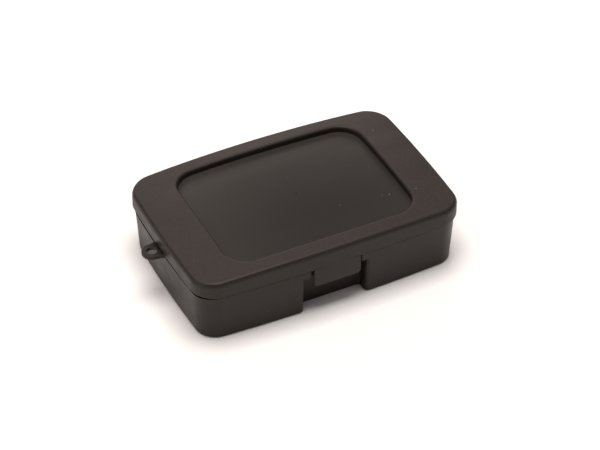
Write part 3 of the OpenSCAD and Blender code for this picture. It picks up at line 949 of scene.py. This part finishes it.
def make_base():
    base = make_base_shell()
    for guide in baffle_guides():
        boolean(base, guide, "UNION")
    for side in (-1, 1):
        arch = [(z, side * ENTRY_X + x) for z, x in arch_outline(ENTRY_R, ENTRY_H)]
        cutter = prism("entry", arch, "y", LID_W / 2 - ENTRY_DEPTH, LID_W / 2 + ENTRY_OUT, [BASE_SKIN])
        boolean(base, cutter, "DIFFERENCE")
    boolean(base, make_ear(), "UNION")
    offset = (LID_KNUCKLE_L + BASE_KNUCKLE_L) / 2 + KNUCKLE_GAP
    for side in (-1, 1):
        for end in (-1, 1):
            boolean(base, base_knuckle(side * HINGE_X + end * offset), "UNION")
    return finished(base, "base", "shell_plastic", "base_shell")


# ---------------------------------------------------------------- hinge pins and bait chamber

def make_pin(name):
    low, high = box_mm(name)
    half, r, chamfer = (high.x - low.x) / 2, (high.z - low.z) / 2, 0.3
    profile = [(-half, r - chamfer), (-half + chamfer / 3, r - chamfer / 3), (-half + chamfer, r),
               (half - chamfer, r), (half - chamfer / 3, r - chamfer / 3), (half, r - chamfer)]
    pin = turned(name + "_turned", profile, tuple((low + high) / 2), [STEEL], 32)
    return finished(pin, "base", "pin_steel", name)


def tray_ring(low, high, inset, z, r, steps=6):
    """A rounded rectangle inside a box's plan, moved in by an inset."""
    x0, y0, x1, y1 = low.x + inset, low.y + inset, high.x - inset, high.y - inset
    corners = ((x1 - r, y1 - r, 0), (x0 + r, y1 - r, 90), (x0 + r, y0 + r, 180), (x1 - r, y0 + r, 270))
    return [(cx + r * cos(t), cy + r * sin(t), z)
            for cx, cy, start in corners for t in arc(start, start + 90, steps)]


TRAY_WALL = 1.2
TRAY_CORNER_R = 1.6
TRAY_EDGE_R = 0.35
TRAY_FLOOR_R = 0.6


def make_tray():
    low, high = box_mm("bait_tray")
    wall, outer_r, edge, floor_r = TRAY_WALL, TRAY_CORNER_R, TRAY_EDGE_R, TRAY_FLOOR_R
    rings = [tray_ring(low, high, edge * (1 - sin(t)), low.z + edge * (1 - cos(t)), outer_r) for t in arc(0, 90, 3)]
    rings += [tray_ring(low, high, edge * (1 - cos(t)), high.z - edge * (1 - sin(t)), outer_r)
              for t in arc(0, 90, 3)]
    rings += [tray_ring(low, high, wall - edge * (1 - sin(t)), high.z - edge * (1 - cos(t)), outer_r - wall + edge)
              for t in arc(0, 90, 3)]
    rings += [tray_ring(low, high, wall + floor_r * (1 - cos(t)), low.z + wall + floor_r * (1 - sin(t)), floor_r)
              for t in arc(0, 90, 3)]
    tray = loft("tray", rings, [INSERT])
    return finished(tray, "base", "insert_plastic", "bait_tray")


def make_baffle(name, rods):
    """An upright plate with a clipped lower rear corner and an open slot for each rod."""
    low, high = box_mm(name)
    clip = 1.0
    outline_yz = [(low.y, low.z), (high.y - clip, low.z), (high.y, low.z + clip), (high.y, high.z)]
    for y, z, r in sorted(rods, reverse=True):
        outline_yz += [(y + r, high.z)]
        outline_yz += [(y + r * cos(t), z - r * sin(t)) for t in arc(0, 180, 16)]
        outline_yz += [(y - r, high.z)]
    outline_yz += [(low.y, high.z)]
    baffle = prism(name + "_plate", outline_yz, "x", low.x, high.x, [INSERT])
    soften(baffle, 0.28, 2, 50)
    return finished(baffle, "base", "insert_plastic", name)


ROD_R = 1.5
ROD_HEAD_T = 1.6
SLOT_CLEAR = 0.15


def make_rod(name):
    low, high = box_mm(name)
    half, head_r, edge = (high.x - low.x) / 2, (high.z - low.z) / 2, 0.45
    end = [(-half + edge * (1 - cos(t)), head_r - edge * (1 - sin(t))) for t in arc(0, 90, 4)]
    end += [(-half + ROD_HEAD_T - 0.2, head_r), (-half + ROD_HEAD_T, head_r - 0.2), (-half + ROD_HEAD_T, ROD_R)]
    profile = end + [(-x, r) for x, r in end[::-1]]
    rod = turned(name + "_turned", profile, tuple((low + high) / 2), [STEEL], 40)
    return finished(rod, "base", "rod_steel", name)


GROOVES = 4
GROOVE_R = 1.2
BLOCK_HOLE_R = 2.0


def make_block(name, rod_z):
    """A wax block with rounded edges, bite grooves down its two long faces and a hole for its rod."""
    low, high = box_mm(name)
    pitch = (high.x - low.x) / GROOVES
    front = [(low.x, low.y)]
    for i in range(GROOVES):
        x = low.x + pitch * (i + 0.5)
        front += [(x - GROOVE_R * cos(t), low.y + GROOVE_R * sin(t)) for t in arc(0, 180, 10)]
    front += [(high.x, low.y)]
    back = [(x, low.y + high.y - y) for x, y in front[::-1]]
    block = prism(name + "_wax", front + back, "z", low.z, high.z, [WAX])
    middle = (low + high) / 2
    bore = [(low.x - middle.x - 1, BLOCK_HOLE_R), (high.x - middle.x + 1, BLOCK_HOLE_R)]
    boolean(block, turned("bore", bore, (middle.x, middle.y, rod_z), [WAX], 32), "DIFFERENCE")
    soften(block, 0.45, 3, 50)
    return finished(block, "base", "bait_wax", name)


def make_chamber():
    rods = []
    for name in ("bait_rod_front", "bait_rod_rear"):
        low, high = box_mm(name)
        rods.append(((low.y + high.y) / 2, (low.z + high.z) / 2, ROD_R + SLOT_CLEAR))
        make_rod(name)
    for name in ("baffle_left", "baffle_right"):
        make_baffle(name, rods)
    for name in ("bait_block_front_left", "bait_block_front_right",
                 "bait_block_rear_left", "bait_block_rear_right"):
        low, high = box_mm(name)
        make_block(name, (low.z + high.z) / 2)
    make_tray()
    make_pin("hinge_pin_left")
    make_pin("hinge_pin_right")


# ---------------------------------------------------------------- floor and light

FLOOR_HALF = 3000.0
FLOOR_Z = -0.05


def make_floor():
    mesh = Mesh()
    size = FLOOR_HALF
    corners = ((-size, -size), (size, -size), (size, size), (-size, size))
    mesh.face(mesh.add_ring([(x, y, FLOOR_Z) for x, y in corners]))
    material, tree, shader = new_material("pale_floor")
    tone = noise_value(tree, object_coordinates(tree), 3.0)
    colour = mix_colour(tree, ramp(tree, tone, 0.3, 0.7), (0.93, 0.93, 0.93, 1), (0.95, 0.95, 0.95, 1))
    tree.links.new(colour, shader.inputs["Base Color"])
    shader.inputs["Roughness"].default_value = 0.9
    floor = mesh.build("floor", [material])


WORLD_COLOUR = (1.0, 0.94, 0.9, 1)
WORLD_STRENGTH = 0.25
# name, place in metres, size in metres, watts, colour
SOFTBOXES = (
    ("left_softbox", (-1.1, 0.0, 0.75), (1.0, 1.0), 3.5, (1.0, 0.88, 0.84)),
    ("top_softbox", (0.0, 0.0, 1.5), (0.9, 0.8), 21.3, (1.0, 0.94, 0.90)),
    ("back_softbox", (0.3, 1.45, 0.75), (1.6, 0.9), 8.5, (1.0, 0.86, 0.84)),
)


def area_light(name, place, size, power, colour):
    """A rectangular lamp that faces the frame's origin."""
    data = bpy.data.lights.new(name, "AREA")
    data.shape = "RECTANGLE"
    data.size, data.size_y = size
    data.energy = power
    data.color = colour
    lamp = bpy.data.objects.new(name, data)
    lamp.location = place
    lamp.rotation_euler = Vector(place).to_track_quat("Z", "Y").to_euler()
    bpy.context.scene.collection.objects.link(lamp)


def make_light():
    world = bpy.data.worlds.new("studio")
    world.use_nodes = True
    background = world.node_tree.nodes["Background"]
    background.inputs["Color"].default_value = WORLD_COLOUR
    background.inputs["Strength"].default_value = WORLD_STRENGTH
    bpy.context.scene.world = world
    for softbox in SOFTBOXES:
        area_light(*softbox)
    bpy.context.scene.view_settings.view_transform = "Standard"


make_floor()
make_light()
make_lid()
make_gate_mark()
make_tab()
make_base()
make_chamber()
